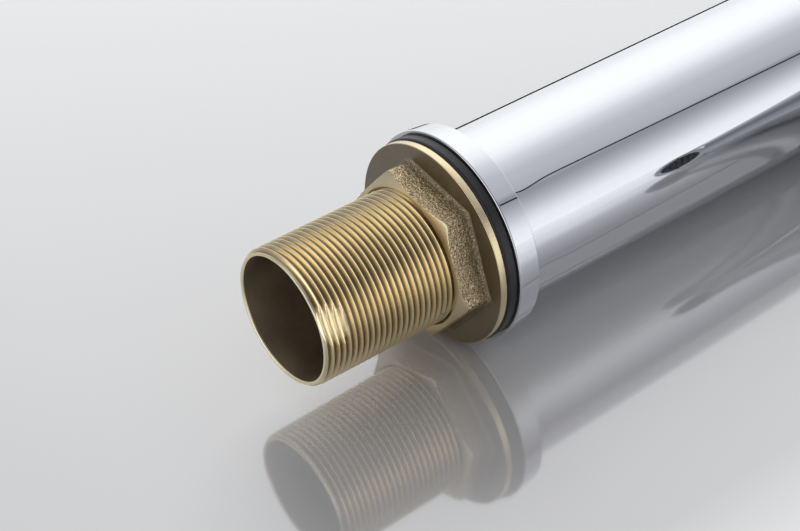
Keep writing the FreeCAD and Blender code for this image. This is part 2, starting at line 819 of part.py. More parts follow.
def make_stem():
    """Square stem on its pivot pin, with the ball that pushes the carrier; it leans forward when closed."""
    body = new_body("cartridge_stem", "pivot_level")
    bar = rectangle(body, "XY_Plane", "stem_width / 2", "stem_width / 2", "-stem_width / 2")
    pad(body, bar, "stem_length + stem_width / 2")
    neck = circles(body, "XY_Plane", [("0", "0", "stem_neck_radius")], "-stem_width / 2")
    pad(body, neck, "stem_ball_drop - stem_width / 2", True)
    tip = body.Tip
    ball = body.newObject("PartDesign::AdditiveSphere", "stem_ball")
    body.Tip = tip
    ball.AttachmentSupport = (origin_part(body, "XY_Plane"), [""])
    ball.MapMode = "FlatFace"
    bind(ball, "Radius", "stem_ball_radius")
    bind(ball, "AttachmentOffset.Base.z", "-stem_ball_drop")
    settle(body, ball, True)
    hole = circles(body, "YZ_Plane", [("0", "0", "pin_radius + pin_clearance")], "-stem_width")
    pocket(body, hole, "2 * stem_width", True)
    body.Placement.Rotation = FreeCAD.Rotation(FreeCAD.Vector(1, 0, 0), size("stem_lean"))
    return body


# Retaining nut, dome and handle

def make_ring_nut():
    """Brass nut that presses on the cartridge's shoulder, with a hexagon on its threaded ring."""
    body = new_body("cartridge_nut", "seat_level + shoulder_level + fit")
    pad(body, circles(body, "XY_Plane", [("0", "0", "nut_thread_radius - fit / 2")]), "ring_nut_thread")
    pad(body, hexagon(body, "ring_nut_flats", "ring_nut_thread"), "ring_nut_hexagon")
    pocket(body, circles(body, "XY_Plane", [("0", "0", "neck_radius + 2 * fit")]),
           "ring_nut_thread + ring_nut_hexagon", True)
    return body


def make_dome():
    """Polished trim dome, part of a sphere about the stem's pivot, with a short skirt inside the column."""
    outer = doc.addObject("Part::Sphere", "dome_outer")
    inner = doc.addObject("Part::Sphere", "dome_inner")
    blank = doc.addObject("Part::Cylinder", "dome_blank")
    skirt = doc.addObject("Part::Cylinder", "dome_skirt_blank")
    skirt_bore = doc.addObject("Part::Cylinder", "dome_skirt_bore")
    hole = doc.addObject("Part::Cylinder", "dome_hole")
    bind(outer, "Radius", "dome_radius")
    bind(inner, "Radius", "dome_radius - dome_wall")
    for sphere in (outer, inner):
        bind(sphere, "Placement.Base.z", "pivot_level")
    for cylinder, radius, low, height in (
            (blank, "column_radius", "column_top", "dome_radius"),
            (skirt, "inner_radius", "column_top - dome_skirt", "dome_skirt + 2 * dome_wall"),
            (skirt_bore, "inner_radius - dome_wall", "column_top - 2 * dome_skirt", "3 * dome_skirt"),
            (hole, "dome_hole_radius", "pivot_level", "2 * dome_radius")):
        bind(cylinder, "Radius", radius)
        bind(cylinder, "Placement.Base.z", low)
        bind(cylinder, "Height", height)
    cap = doc.addObject("Part::Common", "dome_form")
    cap.Base = outer
    cap.Tool = blank
    shell = doc.addObject("Part::Cut", "dome_shell")
    shell.Base = cap
    shell.Tool = inner
    ring = doc.addObject("Part::Cut", "dome_skirt_ring")
    ring.Base = skirt
    ring.Tool = skirt_bore
    whole = doc.addObject("Part::Fuse", "dome_whole")
    whole.Base = shell
    whole.Tool = ring
    dome = doc.addObject("Part::Cut", "dome_cap")
    dome.Base = whole
    dome.Tool = hole
    return dome


def stem_place(along):
    """Placement on the leaning stem's axis, measured up the stem from its pivot."""
    forward = FreeCAD.Rotation(FreeCAD.Vector(1, 0, 0), size("stem_lean"))
    spot = forward.multVec(FreeCAD.Vector(0, 0, along))
    return FreeCAD.Placement(spot + FreeCAD.Vector(0, 0, size("pivot_level")), forward)


def make_hub():
    """Die-cast handle hub: hollow shell that rides over the dome, a leaning boss for the stem, a rod boss."""
    pivot = size("pivot_level")
    dome = size("dome_radius")
    outer_radius = size("column_radius")
    low = size("column_top") + size("hub_lift")
    high = pivot + size("hub_top")
    block = Part.makeCylinder(outer_radius, high - low, FreeCAD.Vector(0, 0, low))
    crown = [edge for edge in block.Edges if level_circle(high, outer_radius)(edge)]
    block = block.makeFillet(size("hub_round"), crown)
    hollow = Part.makeCylinder(outer_radius - size("hub_wall"), high - low - size("hub_roof"),
                               FreeCAD.Vector(0, 0, low))
    cavity = Part.makeSphere(dome + size("hub_gap"), FreeCAD.Vector(0, 0, pivot))
    boss = Part.makeCylinder(size("hub_boss_radius"), high - pivot)
    boss.Placement = stem_place(0)
    rod_root = Part.makeCylinder(size("rod_root_radius") + size("hub_wall") / 2, outer_radius)
    rod_root.Placement = rod_place(-outer_radius)
    inside = Part.makeCylinder(outer_radius - size("fit"), high - low - size("hub_roof") / 2,
                               FreeCAD.Vector(0, 0, low))
    ribs = boss.fuse(rod_root).common(inside)
    hub = block.cut(hollow).fuse(ribs).cut(cavity)
    half = size("stem_width") / 2 + size("fit")
    stem_socket = Part.makeBox(2 * half, 2 * half, size("stem_length") + 2 * size("fit"))
    stem_socket.Placement = stem_place(0).multiply(
        FreeCAD.Placement(FreeCAD.Vector(-half, -half, 0), FreeCAD.Rotation()))
    stud_hole = Part.makeCylinder(size("screw_radius") + size("fit") / 2, size("rod_stud") + size("fit"))
    stud_hole.Placement = rod_place(-size("rod_stud") - size("fit"))
    rod_seat = Part.makeCylinder(size("rod_root_radius") + size("fit"), outer_radius)
    rod_seat.Placement = rod_place(0)
    screw_hole = Part.makeCylinder(size("screw_radius") + size("fit") / 2, outer_radius)
    screw_hole.Placement = screw_place(0)
    plug_hole = Part.makeCylinder(size("plug_radius") + size("fit"), outer_radius)
    plug_hole.Placement = screw_place(size("hub_boss_radius"))
    hub = hub.cut(stem_socket).cut(stud_hole).cut(rod_seat).cut(screw_hole).cut(plug_hole)
    feature = doc.addObject("Part::Feature", "handle_hub")
    feature.Label = "handle_hub"
    feature.Shape = hub.removeSplitter()
    return feature


def rod_place(along):
    """Placement on the lever rod's axis, measured outward from its seat in the hub's wall."""
    angle = size("rod_angle")
    turn_out = FreeCAD.Rotation(FreeCAD.Vector(1, 0, 0), 90 - angle)
    seat = FreeCAD.Vector(0, -(size("column_radius") - size("hub_wall") / 2),
                          size("pivot_level") + size("rod_rise"))
    return FreeCAD.Placement(seat + turn_out.multVec(FreeCAD.Vector(0, 0, along)), turn_out)


def screw_place(along):
    """Placement on the handle screw's axis, square to the stem, measured outward from the stem's axis."""
    base = stem_place(size("screw_rise"))
    outward = FreeCAD.Placement(FreeCAD.Vector(0, -along, 0), FreeCAD.Rotation(FreeCAD.Vector(1, 0, 0), 90))
    return base.multiply(outward)


def make_rod():
    """Tapered lever rod with a threaded stud at its root and a rounded end."""
    body = turned("lever_rod", [
        ("0", "-rod_stud"),
        ("screw_radius", "-rod_stud"),
        ("screw_radius", "fit"),
        ("rod_root_radius", "fit"),
        ("rod_tip_radius", "rod_length"),
        ("0", "rod_length")])
    end = level_circle(size("rod_length"), size("rod_tip_radius"))
    dress(body, "Fillet", edges_where(body, end), "rod_tip_radius / 2")
    body.setExpression("Placement.Base.z", None)
    body.Placement = rod_place(0)
    return body


def make_handle_screw():
    body = make_screw("handle_grub_screw", "handle_screw_length")
    body.setExpression("Placement.Base.z", None)
    flip = FreeCAD.Placement(FreeCAD.Vector(0, 0, 0), FreeCAD.Rotation(FreeCAD.Vector(1, 0, 0), 180))
    start = size("plug_place") - size("hub_wall") - size("screw_gap")
    body.Placement = screw_place(start).multiply(flip)
    return body


def make_plug():
    """Small round hot and cold index plug that covers the handle screw."""
    body = turned("index_plug", [
        ("0", "-hub_wall"),
        ("plug_radius", "-hub_wall"),
        ("plug_radius", "0"),
        ("plug_radius", "hub_wall / 5"),
        ("0", "hub_wall / 5")])
    body.setExpression("Placement.Base.z", None)
    body.Placement = screw_place(size("plug_place"))
    return body


pieces = [
    make_shank(),
    make_mounting_nut(),
    make_gasket(),
    make_base_ring(),
    make_base_bush(),
    make_column(),
    make_valve_body(),
    make_spout(),
    make_nipple(),
    make_spout_seals(),
    make_spout_screw(),
    make_aerator_housing(),
    make_aerator_insert(),
    make_aerator_screen(),
    make_aerator_washer(),
    make_cartridge_base(),
    make_cartridge_seals(),
    make_fixed_disc(),
    make_moving_disc(),
    make_carrier(),
    make_housing(),
    make_rotor(),
    make_rotor_seal(),
    make_pin(),
    make_stem(),
    make_ring_nut(),
    make_dome(),
    make_hub(),
    make_rod(),
    make_handle_screw(),
    make_plug(),
]

doc.recompute()
for thing in doc.Objects:
    if "Invalid" in thing.State or "Error" in thing.State:
        raise RuntimeError("%s failed: %s" % (thing.Name, thing.State))
for piece in pieces:
    if piece.Shape.isNull() or not piece.Shape.isValid():
        raise RuntimeError("%s has no valid shape" % piece.Label)

os.makedirs("parts", exist_ok=True)
for piece in pieces:
    piece.Shape.exportStep("parts/%s.step" % piece.Label)
    print("%-20s solids %d volume %10.2f" % (piece.Label, len(piece.Shape.Solids), piece.Shape.Volume))
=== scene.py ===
import math

import bmesh
import bpy
from mathutils import Matrix, Vector, noise


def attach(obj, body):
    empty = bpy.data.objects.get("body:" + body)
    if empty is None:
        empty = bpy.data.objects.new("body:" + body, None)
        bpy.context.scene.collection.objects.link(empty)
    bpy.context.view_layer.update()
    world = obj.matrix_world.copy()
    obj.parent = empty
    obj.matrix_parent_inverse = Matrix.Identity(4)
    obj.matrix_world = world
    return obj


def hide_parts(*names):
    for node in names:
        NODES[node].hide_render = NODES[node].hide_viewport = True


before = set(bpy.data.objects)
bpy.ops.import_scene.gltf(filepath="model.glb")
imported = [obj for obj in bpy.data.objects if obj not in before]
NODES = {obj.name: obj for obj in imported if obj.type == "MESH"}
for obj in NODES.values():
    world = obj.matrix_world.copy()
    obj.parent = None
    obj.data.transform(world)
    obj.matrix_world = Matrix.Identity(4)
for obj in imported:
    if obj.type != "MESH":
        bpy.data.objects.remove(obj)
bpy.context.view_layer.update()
MM = 0.001

# Camera, from the fit of the photograph: place and aim in millimetres in the part's frame, roll in degrees.
CAMERA_AT = (-287.557, -265.152, -222.231)
CAMERA_AIM = (0.735, -0.802, -11.048)
CAMERA_ROLL = -63.086
CAMERA_LENS = 91.586
CAMERA_SENSOR = 36

# Sizes of the pieces that are made again here, in millimetres as in the CAD source.
PITCH = 1.5
SHANK_R = 16.0
BORE_R = 14.5
SHANK_END = -42.2
SHANK_TOP = 21.8
NUT_HEIGHT = 8.6
NUT_FLANGE_R = 24.0
NUT_FLANGE = 1.8
NUT_FLATS = 35.2
GASKET_R = 24.3
RING_LOW = 2.7
RING_TOP = 8.5
RING_R_LOW = 25.15
RING_R_TOP = 24.6
FOOT_BORE_R = 16.4
COLUMN_R = 20.75
COLUMN_WALL = 2.0
COLUMN_LOW = 7.7
COLUMN_TOP = 172.95
SPOUT_Z = 135.0
SPOUT_TIP_R = 13.8
SPOUT_END = 123.0
HUB_TOP = 203.0


# Node helpers

def node_tools(tree):
    """An adder and a linker for a node tree."""
    def add(kind, **values):
        node = tree.nodes.new(kind)
        for key, value in values.items():
            setattr(node, key, value)
        return node

    def link(source, target):
        tree.links.new(source, target)

    return add, link


def new_material(name):
    """A Principled material: returns it with its node adder, its linker and its shader."""
    made = bpy.data.materials.new(name)
    made.use_nodes = True
    add, link = node_tools(made.node_tree)
    return made, add, link, made.node_tree.nodes["Principled BSDF"]


def feed(link, socket, value):
    """Gives a socket a number, a colour or the output of a node."""
    if isinstance(value, tuple):
        socket.default_value = (*value, 1.0)
    elif isinstance(value, (int, float)):
        socket.default_value = value
    else:
        link(value, socket)


def place_of(add):
    """Coordinates of the object itself, in metres."""
    return add("ShaderNodeTexCoord").outputs["Object"]


def axes_of(add, link, vector):
    """The X, Y and Z outputs of a vector."""
    node = add("ShaderNodeSeparateXYZ")
    link(vector, node.inputs[0])
    return node.outputs


def noise_at(add, link, where, scale, detail=3.0, rough=0.5):
    """Noise over object coordinates, its scale in cells a metre."""
    node = add("ShaderNodeTexNoise")
    node.inputs["Scale"].default_value = scale
    node.inputs["Detail"].default_value = detail
    node.inputs["Roughness"].default_value = rough
    link(where, node.inputs["Vector"])
    return node.outputs["Fac"]


def maths(add, link, operation, *values):
    """One step of arithmetic on numbers and outputs."""
    node = add("ShaderNodeMath", operation=operation)
    for socket, value in zip(node.inputs, values):
        feed(link, socket, value)
    return node.outputs[0]


def ranged(add, link, value, low, high, out_low, out_high):
    """Maps a value from one range onto another, clamped."""
    node = add("ShaderNodeMapRange")
    link(value, node.inputs["Value"])
    for name, number in (("From Min", low), ("From Max", high), ("To Min", out_low), ("To Max", out_high)):
        node.inputs[name].default_value = number
    return node.outputs["Result"]


def blended(add, link, factor, first, second, kind="MIX"):
    """Mixes two colours or colour outputs."""
    node = add("ShaderNodeMix", data_type="RGBA", blend_type=kind)
    for name, value in (("Factor", factor), ("A", first), ("B", second)):
        feed(link, node.inputs[name], value)
    return node.outputs["Result"]


def mixed(add, link, factor, first, second):
    """Mixes two shaders."""
    node = add("ShaderNodeMixShader")
    for socket, value in zip(node.inputs, (factor, first, second)):
        link(value, socket)
    return node.outputs[0]


def bumped(add, link, shader, height, strength, distance, after=None):
    """A bump in metres on the shader's normal, stacked after another bump when given."""
    node = add("ShaderNodeBump")
    node.inputs["Strength"].default_value = strength
    node.inputs["Distance"].default_value = distance
    link(height, node.inputs["Height"])
    if after is not None:
        link(after, node.inputs["Normal"])
    link(node.outputs["Normal"], shader.inputs["Normal"])
    return node.outputs["Normal"]


def shaded(tone, share):
    """A tone made darker by a share."""
    return tuple(c * share for c in tone)


# Materials. Noise scales are in cells a metre, bump depths and heights in metres.

PATCH_SCALE = 90.0
SPECK_SCALE = 700.0
TARNISH = (0.24, 0.16, 0.08)
THREAD_TARNISH = (0.16, 0.10, 0.05)
# Paler colour painted on the cast grain's tops as glints.
CAST_PAINTED_GLINT = (1.0, 0.84, 0.56)
CAST_STAIN = (0.26, 0.185, 0.11)
# Painted shade on the casting, darker towards its flange: the colour, and the heights where that starts and is full.
CAST_PAINTED_SHADE = (0.22, 0.16, 0.10)
CAST_PAINTED_SHADE_Z = (-0.0052, -0.0022)


def chrome_material(name, rough):
    """Plated and polished brass: faint waviness, a few wiping marks."""
    made, add, link, shader = new_material(name)
    where = place_of(add)
    shader.inputs["Base Color"].default_value = (0.70, 0.712, 0.735, 1)
    shader.inputs["Metallic"].default_value = 1.0
    cloud = noise_at(add, link, where, 55.0, 2.0)
    link(ranged(add, link, cloud, 0.35, 0.75, rough, rough * 2.2), shader.inputs["Roughness"])
    wave = noise_at(add, link, where, 60.0, 1.0)
    bumped(add, link, shader, wave, 0.05, 0.00002)
    return made


def brass_material(name, tone, rough, grain, depth):
    """Machined brass: tonal patches, a few tarnish specks and a fine grain of the given scale and depth."""
    made, add, link, shader = new_material(name)
    where = place_of(add)
    patch = noise_at(add, link, where, PATCH_SCALE, 4.0)
    colour = blended(add, link, ranged(add, link, patch, 0.35, 0.7, 0.0, 1.0), shaded(tone, 0.84), tone)
    spots = noise_at(add, link, where, SPECK_SCALE, 5.0, 0.7)
    colour = blended(add, link, ranged(add, link, spots, 0.66, 0.76, 0.0, 0.5), colour, TARNISH)
    link(colour, shader.inputs["Base Color"])
    shader.inputs["Metallic"].default_value = 1.0
    link(ranged(add, link, patch, 0.3, 0.7, rough * 0.85, rough * 1.25), shader.inputs["Roughness"])
    fine = noise_at(add, link, where, grain, 4.0, 0.65)
    bumped(add, link, shader, fine, 0.4, depth)
    return made


def thread_material(name, knocked, painted_crest_highlight, flank, painted_root_shade, rough):
    """Thread brass by depth under the crest: bare knocked crests, painted crest highlights, plain flanks, painted root
    shade.
    """
    made, add, link, shader = new_material(name)
    where = place_of(add)
    depth = add("ShaderNodeAttribute", attribute_name="under_crest").outputs["Fac"]
    patch = noise_at(add, link, where, PATCH_SCALE, 4.0)
    colour = blended(add, link, ranged(add, link, patch, 0.35, 0.7, 0.0, 1.0), shaded(flank, 0.86), flank)
    # Painted shade: the roots are painted darker the deeper they lie under the crest.
    colour = blended(add, link, ranged(add, link, depth, 0.32, 0.94, 0.0, 1.0), colour, painted_root_shade)
    # Painted highlight: a paler colour along the crests.
    colour = blended(add, link, ranged(add, link, depth, 0.02, 0.08, 1.0, 0.0), colour, painted_crest_highlight)
    colour = blended(add, link, ranged(add, link, depth, -0.20, -0.05, 1.0, 0.0), colour, knocked)
    spots = noise_at(add, link, where, SPECK_SCALE, 5.0, 0.7)
    colour = blended(add, link, ranged(add, link, spots, 0.64, 0.72, 0.0, 0.6), colour, THREAD_TARNISH)
    link(colour, shader.inputs["Base Color"])
    shader.inputs["Metallic"].default_value = 1.0
    link(ranged(add, link, depth, 0.1, 0.9, rough, rough * 2.4), shader.inputs["Roughness"])
    fine = noise_at(add, link, where, 1300.0, 4.0, 0.65)
    bumped(add, link, shader, fine, 0.4, 0.00006)
    return made


def cast_material(name, tone):
    """Rough cast brass: sandy grains, painted glints on their tops, painted shade in their hollows and towards the
    flange.
    """
    made, add, link, shader = new_material(name)
    where = place_of(add)
    sand = noise_at(add, link, where, 3200.0, 3.0, 0.6)
    # Painted shade in the grain's hollows and painted glints on its tops, following the same noise as the bump.
    colour = blended(add, link, ranged(add, link, sand, 0.43, 0.51, 0.0, 1.0), shaded(tone, 0.36), tone)
    colour = blended(add, link, ranged(add, link, sand, 0.52, 0.58, 0.0, 1.0), colour, CAST_PAINTED_GLINT)
    cloud = noise_at(add, link, where, 150.0, 3.0)
    colour = blended(add, link, ranged(add, link, cloud, 0.4, 0.75, 0.0, 0.35), colour, CAST_STAIN)
    # Painted shade: the casting is painted darker towards its flange, where the flange's shade falls.
    height = axes_of(add, link, where)["Z"]
    colour = blended(add, link, ranged(add, link, height, *CAST_PAINTED_SHADE_Z, 0.0, 0.65), colour, CAST_PAINTED_SHADE)
    link(colour, shader.inputs["Base Color"])
    shader.inputs["Metallic"].default_value = 1.0
    link(ranged(add, link, sand, 0.35, 0.68, 0.42, 0.18), shader.inputs["Roughness"])
    coarse = noise_at(add, link, where, 1900.0, 2.0, 0.6)
    grains = bumped(add, link, shader, coarse, 1.0, 0.0004)
    bumped(add, link, shader, sand, 1.0, 0.00016, grains)
    return made


def rubber_material(name):
    """Black rubber with a little dust."""
    made, add, link, shader = new_material(name)
    where = place_of(add)
    dust = noise_at(add, link, where, 260.0, 4.0)
    colour = blended(add, link, ranged(add, link, dust, 0.4, 0.8, 0.0, 1.0), (0.012, 0.012, 0.013),
                     (0.035, 0.035, 0.038))
    link(colour, shader.inputs["Base Color"])
    link(ranged(add, link, dust, 0.3, 0.8, 0.34, 0.55), shader.inputs["Roughness"])
    grain = noise_at(add, link, where, 2200.0, 3.0)
    bumped(add, link, shader, grain, 0.25, 0.00006)
    return made


def plastic_material(name, tone, rough):
    """Moulded plastic or ground ceramic: soft clouds and a fine grain."""
    made, add, link, shader = new_material(name)
    where = place_of(add)
    cloud = noise_at(add, link, where, 120.0, 3.0)
    link(blended(add, link, cloud, shaded(tone, 0.82), tone), shader.inputs["Base Color"])
    link(ranged(add, link, cloud, 0.3, 0.7, rough * 0.85, rough * 1.2), shader.inputs["Roughness"])
    grain = noise_at(add, link, where, 1800.0, 2.0)
    bumped(add, link, shader, grain, 0.15, 0.00004)
    return made


def steel_material(name):
    """Satin stainless steel."""
    made, add, link, shader = new_material(name)
    where = place_of(add)
    shader.inputs["Metallic"].default_value = 1.0
    cloud = noise_at(add, link, where, 400.0, 3.0)
    link(blended(add, link, cloud, (0.42, 0.42, 0.43), (0.62, 0.62, 0.63)), shader.inputs["Base Color"])
    link(ranged(add, link, cloud, 0.3, 0.7, 0.22, 0.36), shader.inputs["Roughness"])
    return made


CHROME = chrome_material("chrome_plate", rough=0.025)
BRASS_TURNED = brass_material("brass_turned", (0.62, 0.495, 0.30), rough=0.16, grain=900.0, depth=0.00006)
# The thread's crest colour is a painted highlight and its root colour is painted shade.
BRASS_THREAD = thread_material("brass_thread", knocked=(0.90, 0.75, 0.42), painted_crest_highlight=(1.0, 0.90, 0.62),
                               flank=(0.93, 0.77, 0.475), painted_root_shade=(0.26, 0.20, 0.115), rough=0.10)
BRASS_FACED = brass_material("brass_faced", (0.82, 0.69, 0.475), rough=0.34, grain=1500.0, depth=0.00006)
# Painted shade: the flange face's brass is a much darker copy of the nut's brass.
BRASS_FACE_PAINTED_SHADE = brass_material("brass_face_painted_shade", (0.27, 0.23, 0.17), rough=0.34, grain=1800.0, depth=0.00010)
BRASS_RIM = brass_material("brass_rim", (0.82, 0.69, 0.44), rough=0.20, grain=1500.0, depth=0.00010)
# Painted shade: the bore's brass is a darker copy, standing in for the shade inside the bore.
BRASS_BORE_PAINTED_SHADE = brass_material("brass_bore_painted_shade", (0.34, 0.265, 0.185), rough=0.5, grain=900.0, depth=0.00010)
BRASS_CAST = cast_material("brass_cast", (0.80, 0.625, 0.375))
RUBBER = rubber_material("rubber_gasket")
PLASTIC_DARK = plastic_material("plastic_dark", (0.06, 0.06, 0.065), rough=0.45)
PLASTIC_WHITE = plastic_material("plastic_white", (0.80, 0.80, 0.78), rough=0.4)
PLASTIC_GREY = plastic_material("plastic_grey", (0.42, 0.43, 0.45), rough=0.3)
CERAMIC = plastic_material("ceramic_disc", (0.86, 0.85, 0.80), rough=0.25)
STEEL = steel_material("steel_satin")

NODE_MATERIALS = {
    "threaded_shank": BRASS_TURNED,
    "mounting_nut": BRASS_CAST,
    "base_gasket": RUBBER,
    "base_ring": CHROME,
    "base_bush": BRASS_TURNED,
    "column_tube": CHROME,
    "valve_body": BRASS_TURNED,
    "spout": CHROME,
    "spout_nipple": BRASS_TURNED,
    "spout_o_rings": RUBBER,
    "spout_grub_screw": STEEL,
    "aerator_housing": CHROME,
    "aerator_insert": PLASTIC_DARK,
    "aerator_screen": STEEL,
    "aerator_washer": RUBBER,
    "cartridge_base": PLASTIC_WHITE,
    "cartridge_seals": RUBBER,
    "fixed_disc": CERAMIC,
    "moving_disc": CERAMIC,
    "disc_carrier": PLASTIC_DARK,
    "cartridge_housing": PLASTIC_WHITE,
    "cartridge_rotor": PLASTIC_DARK,
    "rotor_o_ring": RUBBER,
    "stem_pin": STEEL,
    "cartridge_stem": BRASS_TURNED,
    "cartridge_nut": BRASS_TURNED,
    "dome_cap": CHROME,
    "handle_hub": CHROME,
    "lever_rod": CHROME,
    "handle_grub_screw": STEEL,
    "index_plug": PLASTIC_GREY,
}
for node_name, material in NODE_MATERIALS.items():
    slots = NODES[node_name].data.materials
    if not slots:
        slots.append(material)
    for index in range(len(slots)):
        slots[index] = material


# Mesh helpers

# Vertices closer than this become one, in metres.
WELD = 0.000002
# Turned pieces: points round the circle, and the angle in degrees that is left sharp.
CIRCLE_STEPS = 256
LATHE_SHARP = 35.0
# A rounded corner: steps of its arc, and how far outside the arc a row lies on each side, in millimetres.
ARC_STEPS = 5
ARC_MARGIN = 0.05


def on_circle(shape, radius, turn, height):
    """A new vertex at a radius, a turn round Z and a height, in millimetres."""
    return shape.verts.new((radius * math.cos(turn) * MM, radius * math.sin(turn) * MM, height * MM))


def bridge(shape, low, high):
    """Faces between two closed rings of vertices."""
    count = len(low)
    for i in range(count):
        j = (i + 1) % count
        shape.faces.new((low[i], low[j], high[j], high[i]))


def wrapped(name, shape, material, body, replaced, sharp):
    """Cleans and shades a mesh, and puts it in the scene as a piece that rides on a body and replaces CAD nodes."""
    bmesh.ops.remove_doubles(shape, verts=shape.verts, dist=WELD)
    bmesh.ops.recalc_face_normals(shape, faces=shape.faces)
    for face in shape.faces:
        face.smooth = True
    limit = math.radians(sharp)
    for edge in shape.edges:
        if len(edge.link_faces) == 2 and edge.calc_face_angle(0.0) > limit:
            edge.smooth = False
    mesh = bpy.data.meshes.new(name)
    shape.to_mesh(mesh)
    shape.free()
    piece = bpy.data.objects.new(name, mesh)
    bpy.context.scene.collection.objects.link(piece)
    piece.data.materials.append(material)
    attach(piece, body)
    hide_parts(*replaced)
    return piece


def rounded(corners):
    """Rows (radius, height) of a section from its corners (radius, height, round), with arcs at the round ones."""
    rows = []
    count = len(corners)
    for i, (radius, height, size) in enumerate(corners):
        here = Vector((radius, height))
        if size <= 0:
            rows.append((radius, height))
            continue
        before = (Vector(corners[i - 1][:2]) - here).normalized()
        after = (Vector(corners[(i + 1) % count][:2]) - here).normalized()
        half = before.angle(after) / 2
        reach = size / math.tan(half)
        centre = here + (before + after).normalized() * (size / math.sin(half))
        start = here + before * reach - centre
        end = here + after * reach - centre
        rows.append(tuple(here + before * (reach + ARC_MARGIN)))
        for k in range(ARC_STEPS + 1):
            spot = start.lerp(end, k / ARC_STEPS).normalized() * size + centre
            rows.append((spot.x, spot.y))
        rows.append(tuple(here + after * (reach + ARC_MARGIN)))
    return rows


def lathe(name, corners, material, replaced):
    """A turned piece of the mixer from its section's corners, in order round the section."""
    shape = bmesh.new()
    turns = [2 * math.pi * i / CIRCLE_STEPS for i in range(CIRCLE_STEPS)]
    rings = [[on_circle(shape, radius, turn, height) for turn in turns] for radius, height in rounded(corners)]
    for low, high in zip(rings, rings[1:] + rings[:1]):
        bridge(shape, low, high)
    return wrapped(name, shape, material, "mixer", replaced, LATHE_SHARP)


# Threaded shank, in millimetres and degrees

THREAD_DEPTH = 0.95
THREAD_ANGLE = 60
# Places from the middle of a groove towards the crest, half the crest's width, and the softness of crest and root.
THREAD_PLACES = (0.0, 0.08, 0.14, 0.20, 0.44, 0.61, 0.665, 0.71)
CREST_HALF = 0.06
CREST_SOFT = 0.025
ROOT_SOFT = 0.05
# Beyond this exponent the softened crest is straight.
EXP_LIMIT = 60.0
# Columns of vertices round the shank, closest in view: first turn, end and step, in tenths of a degree.
SHANK_COLUMNS = ((0, 2050, 30), (2050, 2800, 8), (2800, 3600, 30))
# The free end: outer and inner edge of its lip, slope and length of the lead-in.
LIP_R = 15.25
LIP_INNER_R = 14.75
LEAD_SLOPE = 0.75
LEAD_LENGTH = 0.9
# The flat that a knock has pressed into the crests near the end: its place, lean, depth, length and run-out.
FLAT_AT = 241.0
FLAT_LEAN = 1.0
FLAT_DEPTH = 0.76
FLAT_LENGTH = 5.0
FLAT_RUN_OUT = 0.4
FLAT_MARGIN = 0.02
# What marks a knocked crest where the other places have their depth under the crest, as a share of the thread's.
KNOCKED = -0.3
# Edges of the thread shorter than this go, in metres.
SHORT_EDGE = 0.000001


def thread_rows():
    """One pitch of a V thread: places along Z from the middle of a groove, and how far each lies under the crest."""
    half = PITCH / 2
    slope = math.tan(math.radians(THREAD_ANGLE))
    rows = []
    for along in THREAD_PLACES:
        edge = (half - along - CREST_HALF) / CREST_SOFT
        drop = slope * CREST_SOFT * math.log1p(math.exp(min(edge, EXP_LIMIT)))
        drop = THREAD_DEPTH - ROOT_SOFT * math.log1p(math.exp((THREAD_DEPTH - drop) / ROOT_SOFT))
        rows.append((along, max(0.0, drop)))
    rows.append((half, 0.0))
    rows += [(PITCH - along, drop) for along, drop in reversed(rows[1:-1])]
    return rows


def flat_radius(turn, above):
    """Radius of the knocked flat at a turn, at a height above the free end."""
    reach = SHANK_R - FLAT_DEPTH + max(0.0, above - FLAT_LENGTH) * FLAT_RUN_OUT
    side = math.cos(turn - math.radians(FLAT_AT + FLAT_LEAN * above))
    return reach / side if side > 0.5 else SHANK_R


def make_shank():
    """Brass shank with a true helical thread, a lead-in at its lip and a plain bore."""
    low, high = SHANK_END, RING_LOW + 1.0
    turns = [math.radians(tenth / 10) for stretch in SHANK_COLUMNS for tenth in range(*stretch)]
    shape = bmesh.new()
    depth_layer = shape.verts.layers.float.new("under_crest")
    profile = thread_rows()
    grid = []
    for pitch in range(int((high - low) / PITCH) + 3):
        for along, drop in profile:
            line = []
            for turn in (*turns, 2 * math.pi):
                height = min(max(low + (pitch - 2) * PITCH + along + PITCH * turn / (2 * math.pi), low), high)
                worn = min(flat_radius(turn, height - low), LIP_R + (height - low) * LEAD_SLOPE)
                radius = min(SHANK_R - drop, worn)
                vert = on_circle(shape, radius, turn, height)
                cut = worn < SHANK_R - drop - FLAT_MARGIN and height > low + LEAD_LENGTH
                vert[depth_layer] = KNOCKED if cut else max(0.0, (min(SHANK_R, worn) - radius) / THREAD_DEPTH)
                line.append(vert)
            grid.append(line)
    for first, second in zip(grid, grid[1:]):
        for i in range(len(turns)):
            corners = (first[i], first[i + 1], second[i + 1], second[i])
            if len({round(v.co.z, 7) for v in corners}) > 1:
                shape.faces.new(corners)
    inner = [(LIP_R, low), (LIP_INNER_R, low), (BORE_R + 0.12, low + 0.10), (BORE_R, low + 0.35),
             (BORE_R, SHANK_TOP), (SHANK_R, SHANK_TOP), (SHANK_R, high)]
    rings = [[on_circle(shape, radius, turn, height) for turn in turns] for radius, height in inner]
    for first, second in zip(rings, rings[1:]):
        bridge(shape, first, second)
    bmesh.ops.dissolve_degenerate(shape, dist=SHORT_EDGE, edges=shape.edges)
    piece = wrapped("shank_thread", shape, BRASS_THREAD, "mixer", ["threaded_shank"], 60.0)
    # The bore's faces take the darker brass of painted shade.
    piece.data.materials.append(BRASS_BORE_PAINTED_SHADE)
    for face in piece.data.polygons:
        middle = face.center
        if math.hypot(middle.x, middle.y) < (BORE_R + 0.05) * MM:
            face.material_index = 1


# Flange nut, in millimetres and degrees

NUT_STEPS = 720
# The hexagon's turn and the rounding of its corners, and the mould line's place, width and height.
NUT_TURN = 36.75
NUT_CORNER_R = 1.9
FLASH_AT = 216.75
FLASH_WIDTH = 0.8
FLASH_HEIGHT = 0.10
